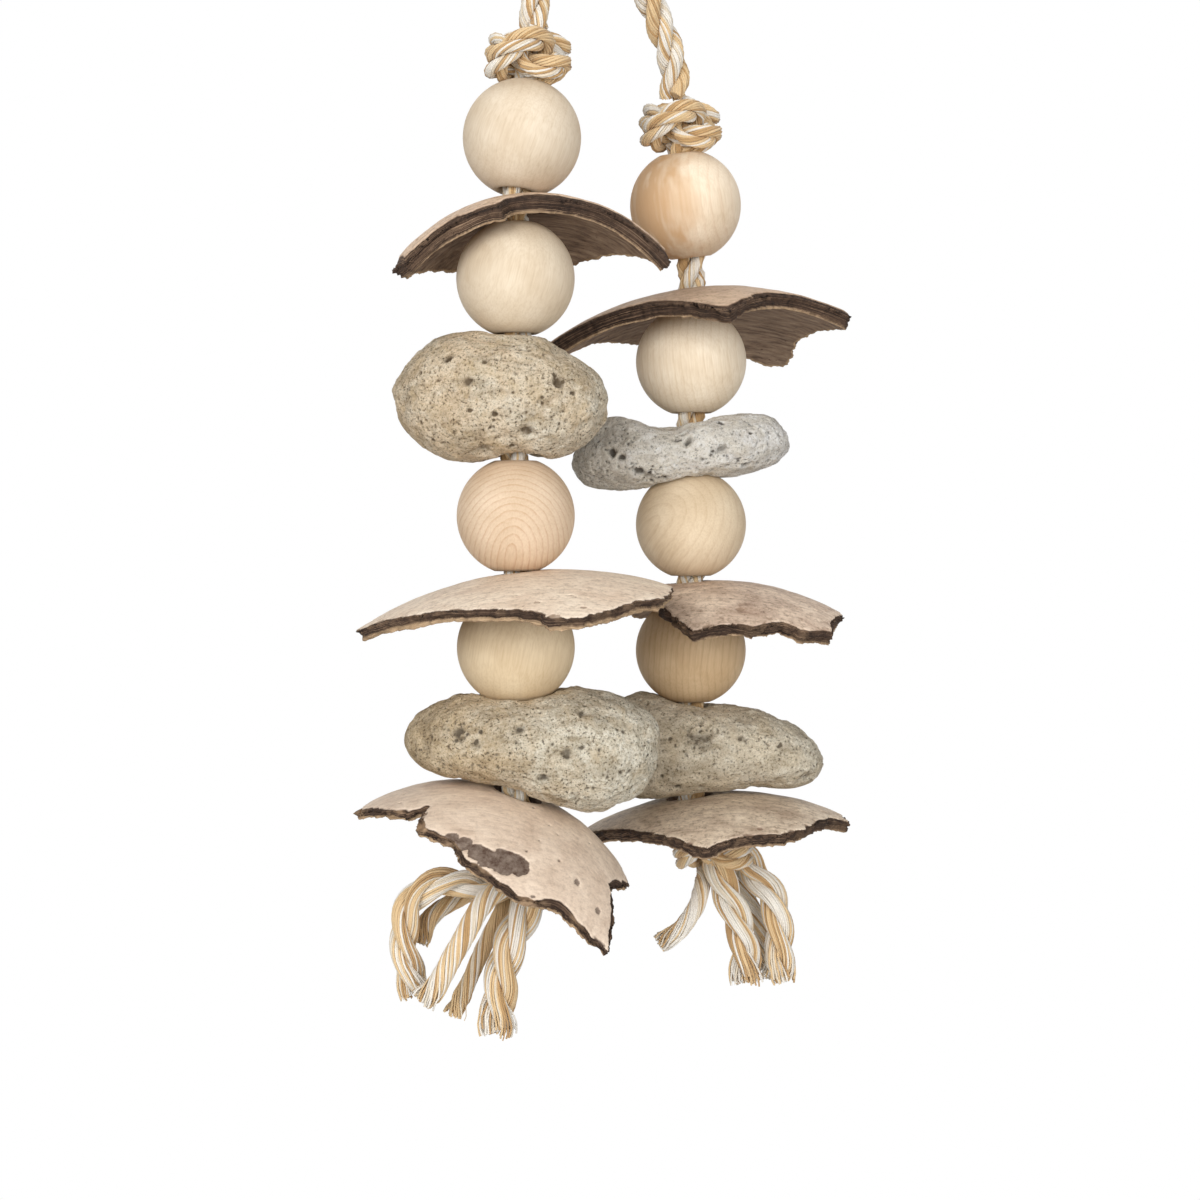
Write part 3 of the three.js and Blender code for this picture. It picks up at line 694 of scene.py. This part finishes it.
def shell_finish(name, outer, mottle, bare, pale, turn, marks):
    """Sanded shell with fine streaks outside, a dark layered broken edge with a pale lip, and brown inside."""
    material, tree, surface = new_material(name, Specular_IOR_Level=0.3)
    coords = object_coords(tree)
    depth, torn, lip = (kept_values(tree, n) for n in ("depth", "torn", "lip"))

    # The sanded face.
    clouds = mottling(tree, coords, 70, 6, 0.68, 0.6)
    face = mixed(tree, ramp(tree, clouds, (0.38, BLACK), (0.7, WHITE)), outer, mottle)
    turned = moved(tree, coords, turn=(0, 0, math.radians(turn)), scale=(0.1, 1, 1))
    streaks = mottling(tree, turned, 900, 5, 0.7)
    face = shaded(tree, 0.25 + 0.25 * marks, face, streaks, (0.3, (172, 154, 140)), (0.55, (255, 253, 250)))
    grit = mottling(tree, coords, 640, 6, 0.75)
    face = shaded(tree, 0.85 * marks, face, grit, (0.34, (160, 143, 128)), (0.5, (243, 240, 236)), (0.68, WHITE))
    specks = mottling(tree, coords, 900, 3, 0.6)
    face = shaded(tree, 0.6 * marks, face, specks, (0.28, (128, 104, 87)), (0.4, WHITE))

    # The broken edge, in layers along the face, with fibrous stretches and a pale lip inside.
    split = shader(tree, "ShaderNodeSeparateXYZ", {"Vector": coords}).outputs
    sheets = shader(tree, "ShaderNodeCombineXYZ", {
        "X": reckoned(tree, "MULTIPLY", depth, 0.046),
        "Y": reckoned(tree, "MULTIPLY", split["X"], 0.06),
        "Z": reckoned(tree, "MULTIPLY", split["Y"], 0.06)}).outputs[0]
    layers = mottling(tree, sheets, 620, 5, 0.72)
    edge = ramp(tree, layers, (0.34, (24, 17, 13)), (0.45, (62, 47, 38)), (0.55, (92, 72, 58)),
                (0.67, (186, 158, 131)))
    flakes = mottling(tree, coords, 520, 5, 0.7)
    edge = shaded(tree, 0.75, edge, flakes, (0.32, (96, 84, 76)), (0.5, (214, 206, 198)), (0.68, (255, 250, 244)))
    stretches = ramp(tree, mottling(tree, coords, 130, 3), (0.5, BLACK), (0.66, (pale, pale, pale)))
    edge = mixed(tree, stretches, edge, mixed(tree, flakes, paint(112, 84, 62), paint(224, 190, 152)))
    lip_colour = mixed(tree, flakes, paint(140, 108, 78), paint(232, 202, 164))
    lip_colour = shaded(tree, 0.7, lip_colour, layers, (0.38, (112, 90, 72)), (0.5, WHITE))
    edge = mixed(tree, lip, edge, lip_colour)

    # The fibres of the inside.
    inside_run = moved(tree, coords, turn=(0, 0, math.radians(turn + 70)), scale=(0.16, 1, 0.6))
    fibres = mottling(tree, inside_run, 620, 6, 0.72)
    inside = ramp(tree, fibres, (0.28, (74, 57, 46)), (0.47, (132, 109, 90)), (0.7, (178, 153, 128)))
    inside = mixed(tree, ramp(tree, specks, (0.26, WHITE), (0.34, BLACK)), inside, paint(70, 54, 44))

    # What is worn or torn shows the bare shell or the edge, and what lies deepest shows the inside.
    worn = ramp(tree, depth, (0.03, BLACK), (0.075, WHITE))
    flaking = ramp(tree, flakes, (0.36, BLACK), (0.72, WHITE))
    under = mixed(tree, flaking, bare, mixed(tree, 0.25, bare, outer))
    under = mixed(tree, ramp(tree, torn, (0.1, BLACK), (0.55, WHITE)), under, edge)
    colour = mixed(tree, worn, face, under)
    deepest = ramp(tree, depth, (0.88, BLACK), (0.97, WHITE))
    colour = mixed(tree, reckoned(tree, "SUBTRACT", deepest, lip, clamp=True), colour, inside)
    height = mixed(tree, worn, mixed(tree, 0.6, streaks, grit), mixed(tree, 0.5, layers, flakes))
    dress(tree, surface, colour, height, 0.5, 0.0007)
    tree.links.new(spread(tree, worn, 0.55, 0.85), surface.inputs["Roughness"])
    return material


# Each shell: dome radius in metres, lean of its crown to the right and the back in degrees, the share of its
# thickness left at the broken edge, the depth share where its pale inner layer starts, how far the break is
# bevelled in metres, the two outer colours, the colour under the sanded skin, how pale its edge gets, the run
# of the streaks in degrees, the strength of its marks, and worn spots as place, radius and depth in millimetres.
SHELLS = {
    "left_shell_1": (
        0.045, (-7, 0), 1.0, 0.86, 0.0045, (236, 210, 184), (204, 178, 154), (140, 114, 92), 20, 20, 0.8, []),
    "left_shell_2": (
        0.095, (-7, 0), 0.8, 0.62, 0.0005, (255, 240, 220), (232, 210, 188), (156, 134, 114), 120, 15, 0.6, [
            ((-12.4, -63.0, -249.3), 3.2, 0.5), ((-16.6, -56.1, -243.6), 0.9, 0.6),
            ((-8.8, -52.5, -242.1), 0.8, 0.6), ((-5.6, -58.6, -244.8), 0.8, 0.6)]),
    "left_shell_3": (
        0.050, (18, -5), 0.5, 0.6, 0.0026, (252, 233, 212), (218, 194, 172), (86, 66, 55), 220, -30, 0.3, [
            ((-37.5, -46.8, -301.0), 1.6, 0.42), ((-34.5, -48.6, -302.5), 2.4, 0.42),
            ((-31.5, -49.7, -304.3), 2.8, 0.42), ((-28.6, -50.7, -305.8), 3.2, 0.42),
            ((-25.0, -50.4, -306.6), 4.0, 0.42), ((-21.6, -49.6, -307.6), 3.4, 0.42),
            ((-7.4, -44.1, -312.6), 1.1, 0.3), ((-2.5, -44.0, -319.5), 1.0, 0.3)]),
    "right_shell_1": (
        0.080, (-6.5, 0), 1.0, 0.86, 0.0025, (214, 188, 162), (182, 156, 134), (140, 114, 92), 30, 40, 0.8, []),
    "right_shell_2": (
        0.072, (-5, 0), 0.85, 0.84, 0.001, (250, 230, 209), (182, 154, 134), (146, 118, 95), 120, 5, 0.9, [
            ((34.9, -6.8, -247.0), 1.3, 0.4)]),
    "right_shell_3": (
        0.078, (-8, 0), 0.8, 0.84, 0.001, (255, 240, 218), (198, 175, 153), (140, 114, 94), 130, 10, 0.9, [
            ((40.1, -6.1, -304.3), 1.2, 0.4)]),
}
for number, (node, row) in enumerate(SHELLS.items(), 1):
    dome, lean, rim, lip_start, bevel, outer, mottle, bare, pale, turn, marks, spots = row
    shell_mesh = broken_shell(node, dome, lean, rim, lip_start, bevel, number, spots)
    finish = shell_finish(node + "_finish", paint(*outer), paint(*mottle), paint(*bare), pale, turn, marks)
    add_piece(node + "_broken", shell_mesh, node, node, "coconut_shell", finish)


# ---- Pumice stones ----
# Natural pumice pebbles, drilled 11 mm for the rope. They are rough and full of small pits,
# with larger hollows where bubbles broke open, and their colour runs from beige to grey white.
PITS = 1500
BIG_PIT_EVERY = 50
PIT_SHADE = 0.00052
HIGHEST_LUMP = 0.00045
STONE_STEPS = (
    ("REMESH", {"mode": "VOXEL", "voxel_size": 0.0016}),
    ("SMOOTH", {"factor": 0.5, "iterations": 16}),
    ("REMESH", {"mode": "VOXEL", "voxel_size": 0.00036}),
    ("SMOOTH", {"factor": 0.5, "iterations": 5}),
)


def worn_stone(node, seed, hollows):
    """A rounded pebble with lumps, many small pits and the larger hollows given, in millimetres, and how much
    painted shade each point gets in them.
    """
    rng = random.Random(seed)
    shift = Vector((seed * 2.3, seed * 4.1, seed))
    mesh = fine_copy(node, *STONE_STEPS)
    pits = KDTree(PITS)
    sizes = []
    for k in range(PITS):
        pits.insert(mesh.vertices[rng.randrange(len(mesh.vertices))].co, k)
        sizes.append(rng.uniform(0.00026, 0.0005) if k % BIG_PIT_EVERY else rng.uniform(0.0005, 0.0008))
    pits.balance()
    sunk = []
    standing = [(v, v.co.copy(), v.normal.copy()) for v in mesh.vertices]
    for vertex, p, normal in standing:
        broad = rough(p * 62, shift, 3)
        crumbs = rough(p * 240, shift, 4)
        pit = 0.0
        for _, nearest, gap in pits.find_n(p, 2):
            gap *= 1 + 0.6 * noise.noise(p * 1100 + shift)
            pit = max(pit, sizes[nearest] * max(0.0, 1 - (gap / sizes[nearest]) ** 3))
        hollow = shadow = 0.0
        # Each hollow sinks the surface and adds a painted shadow that grows with how deep it is.
        for spot, size, deep in hollows:
            away = (p - Vector(spot) * MM) / MM
            if away.length < 2.5 + size:
                gap = (away - normal * away.dot(normal)).length
                gap += 0.5 * size * rough(p * 520, shift, 4)
                bowl = max(0.0, 1 - (gap / size) ** 2) ** 1.5
                hollow = max(hollow, deep * MM * bowl)
                shadow = max(shadow, bowl * min(1.0, 1.1 * deep / size))
        lump = min(HIGHEST_LUMP, 0.0001 + 0.0008 * broad + 0.0006 * crumbs)
        vertex.co = p + normal * (lump - pit - hollow)
        # Painted shade: the pits, the hollows and the dips between crumbs are marked to be darkened, as falling
        # shade would darken them.
        sunk.append(pit / PIT_SHADE + 1.5 * shadow - 0.4 * min(0.0, crumbs))
    keep_values(mesh, "sunk", sunk)
    return mesh


def stone_finish(name, centre, warm, cool, ochre, dark, lean, marks):
    """Pumice: beige to one side and grey white to the other, speckled with dark pores, with painted shade in its
    pits and hollows.
    """
    material, tree, surface = new_material(name, Roughness=0.93, Specular_IOR_Level=0.2)
    coords = object_coords(tree)
    across = shader(tree, "ShaderNodeSeparateXYZ", {"Vector": coords}).outputs["X"]
    side = spread(tree, across, 0.5 - lean, 0.5 + lean, centre.x - 0.03, centre.x + 0.03)
    side = reckoned(tree, "ADD", mottling(tree, coords, 95, 5, 0.65, 0.8), side)
    side = ramp(tree, reckoned(tree, "MULTIPLY", side, 0.5), (0.42, BLACK), (0.58, WHITE))
    colour = mixed(tree, side, warm, cool)
    wrinkled = moved(tree, coords, turn=(0, math.radians(30), 0), scale=(0.42, 1, 1))
    blots = mottling(tree, wrinkled, 520, 5, 0.72, 0.5)
    colour = shaded(tree, 0.7 * marks, colour, blots, (0.3, (164, 151, 131)), (0.46, (238, 233, 225)),
                    (0.6, WHITE))
    pores = mottling(tree, coords, 1500, 4, 0.65)
    colour = shaded(tree, 0.9 * marks, colour, pores, (0.36, (66, 55, 43)), (0.42, (234, 229, 220)),
                    (0.6, WHITE))
    grains = mottling(tree, coords, 2700, 5, 0.8)
    colour = shaded(tree, 0.62 * marks, colour, grains, (0.37, (138, 126, 108)), (0.48, (238, 234, 227)),
                    (0.6, WHITE))
    patches = mottling(tree, wrinkled, 170, 4, 0.6)
    colour = shaded(tree, 0.65 * marks, colour, patches, (0.34, (188, 178, 162)), (0.52, WHITE))
    stains = ramp(tree, mottling(tree, coords, 140, 5, 0.7), (0.5, BLACK), (0.7, (190, 190, 190)))
    colour = mixed(tree, stains, colour, ochre)
    # Painted shade: the pits, hollows and dips between crumbs are darkened towards the pit shade colour.
    sunk = ramp(tree, kept_values(tree, "sunk"), (0.25, BLACK), (0.6, (140, 140, 140)), (1.0, (240, 240, 240)))
    colour = mixed(tree, sunk, colour, dark)
    height = mixed(tree, 0.35, mixed(tree, 0.5, blots, pores), grains)
    dress(tree, surface, colour, height, 1.0, 0.0011)
    return material


# Each stone: its beige, its grey white, its ochre stains, the colour of the painted shade in its pits and hollows,
# how far the colours divide left from right, the strength of its marks, and its larger hollows as place, radius and
# depth in millimetres.
STONES = {
    "left_stone_1": ((249, 231, 205), (255, 249, 235), (214, 188, 146), (98, 82, 63), 0.12, 1.0, [
        ((-39.3, -35.7, -183.8), 1.5, 2.2), ((-47.2, -28.6, -182.8), 1.0, 1.0), ((-34.1, -38.6, -189.7), 1.6, 0.9),
        ((-29.7, -37.5, -184.7), 1.2, 0.8), ((-21.1, -37.2, -184.9), 2.2, 0.8), ((-11.3, -36.2, -189.5), 2.2, 1.5),
        ((-14.1, -37.6, -194.8), 2.6, 1.1), ((-19.6, -36.2, -202.1), 2.4, 1.5), ((-50.8, -30.1, -193.7), 3.6, 1.2),
        ((-30.8, -30.9, -206.7), 3.0, 1.4), ((-46.1, -32.4, -199.3), 1.1, 0.9), ((-7.7, -34.9, -192.4), 1.0, 0.9)]),
    "left_stone_2": ((232, 214, 185), (255, 251, 238), (212, 188, 150), (98, 88, 75), 0.3, 1.0, [
        ((-36.9, -36.9, -276.1), 2.6, 1.5), ((-32.3, -38.9, -278.8), 2.2, 1.0), ((-45.9, -32.4, -279.7), 3.4, 0.9),
        ((-21.5, -38.8, -275.2), 2.2, 1.3), ((-15.8, -39.0, -288.0), 2.0, 1.4), ((-6.0, -35.4, -271.4), 1.8, 0.9),
        ((4.6, -34.5, -276.3), 1.0, 1.0), ((-9.8, -39.6, -281.3), 1.6, 0.9), ((-7.0, -35.2, -293.1), 2.6, 1.0)]),
    "right_stone_1": ((255, 253, 246), (255, 255, 255), (250, 243, 226), (84, 78, 70), 0.2, 0.65, [
        ((12.1, 10.9, -212.5), 3.2, 1.5), ((8.6, 8.5, -211.2), 2.2, 1.2), ((15.1, 11.3, -212.3), 2.0, 1.2),
        ((1.5, 8.8, -205.7), 1.8, 1.6), ((4.1, 7.8, -207.0), 1.6, 1.4), ((21.9, 6.1, -202.4), 2.2, 1.3),
        ((18.9, 6.7, -201.9), 1.6, 1.0), ((30.2, 6.3, -205.0), 2.6, 1.3), ((37.6, 12.5, -209.1), 2.0, 1.2),
        ((30.8, 10.8, -197.3), 1.5, 0.9), ((25.7, 11.6, -197.8), 1.6, 0.9)]),
    "right_stone_2": ((246, 234, 211), (250, 244, 229), (206, 188, 158), (106, 94, 78), 0.1, 0.85, [
        ((24.9, 6.2, -280.9), 5.0, 2.6), ((36.2, 7.0, -281.2), 1.6, 1.0), ((19.1, 10.0, -295.1), 1.3, 2.0),
        ((25.4, 11.0, -295.0), 1.3, 1.0), ((55.0, 15.3, -293.0), 2.6, 1.2)]),
}
FIRST_STONE_SEED = 31
for seed, (node, row) in enumerate(STONES.items(), FIRST_STONE_SEED):
    warm, cool, ochre, dark, lean, marks, hollows = row
    centre, _ = joint_place(node)
    finish = stone_finish(node + "_finish", centre, paint(*warm), paint(*cool), paint(*ochre), paint(*dark),
                          lean, marks)
    add_piece(node + "_worn", worn_stone(node, seed, hollows), node, node, "pumice", finish)


# ---- Stage, lamps and camera ----
# A pale painted floor far below the toy, three large soft lamps and a white background,
# which lights the toy less than it shows.
floor_mesh = bpy.data.meshes.new("floor_mesh")
bm = bmesh.new()
bmesh.ops.create_circle(bm, cap_ends=True, segments=64, radius=0.6, matrix=Matrix.Translation((0, 0, -0.62)))
bm.to_mesh(floor_mesh)
bm.free()
floor = bpy.data.objects.new("floor", floor_mesh)
bpy.context.scene.collection.objects.link(floor)
floor_paint, tree, surface = new_material("floor_paint", Roughness=0.8)
surface.inputs["Base Color"].default_value = paint(238, 238, 238)
floor_mesh.materials.append(floor_paint)

world = bpy.data.worlds.new("studio")
bpy.context.scene.world = world
world.use_nodes = True
tree = world.node_tree
path = shader(tree, "ShaderNodeLightPath").outputs
seen = reckoned(tree, "MAXIMUM", path["Is Camera Ray"], path["Is Glossy Ray"])
seen = reckoned(tree, "MAXIMUM", seen, path["Is Transmission Ray"])
background = tree.nodes["Background"]
background.inputs["Color"].default_value = paint(*WHITE)
tree.links.new(spread(tree, seen, 0.22, 1.0), background.inputs["Strength"])

# Each lamp: place in metres, the point it faces, its size and power.
LAMPS = {
    "key_lamp": ((-0.45, -1.0, 0.08), (0, 0, -0.22), 0.8, 9.6),
    "fill_lamp": ((0.6, -1.0, -0.18), (0, 0, -0.22), 0.8, 6.4),
    "top_lamp": ((0.05, 0.1, 0.9), (0, 0, -0.2), 0.8, 4.6),
}
for name, (place, aim, size, power) in LAMPS.items():
    lamp = bpy.data.lights.new(name, "AREA")
    lamp.shape = "SQUARE"
    lamp.size = size
    lamp.energy = power
    holder = bpy.data.objects.new(name, lamp)
    bpy.context.scene.collection.objects.link(holder)
    holder.location = place
    holder.rotation_euler = (Vector(aim) - Vector(place)).to_track_quat("-Z", "Y").to_euler()

camera = bpy.data.cameras.new("camera")
camera.lens = 70.8
viewer = bpy.data.objects.new("camera", camera)
bpy.context.scene.collection.objects.link(viewer)
viewer.location = (-0.00157, -0.6203, -0.22617)
viewer.rotation_euler = Euler((math.radians(88.3), 0, 0))
bpy.context.scene.camera = viewer
bpy.context.scene.view_settings.view_transform = "Standard"
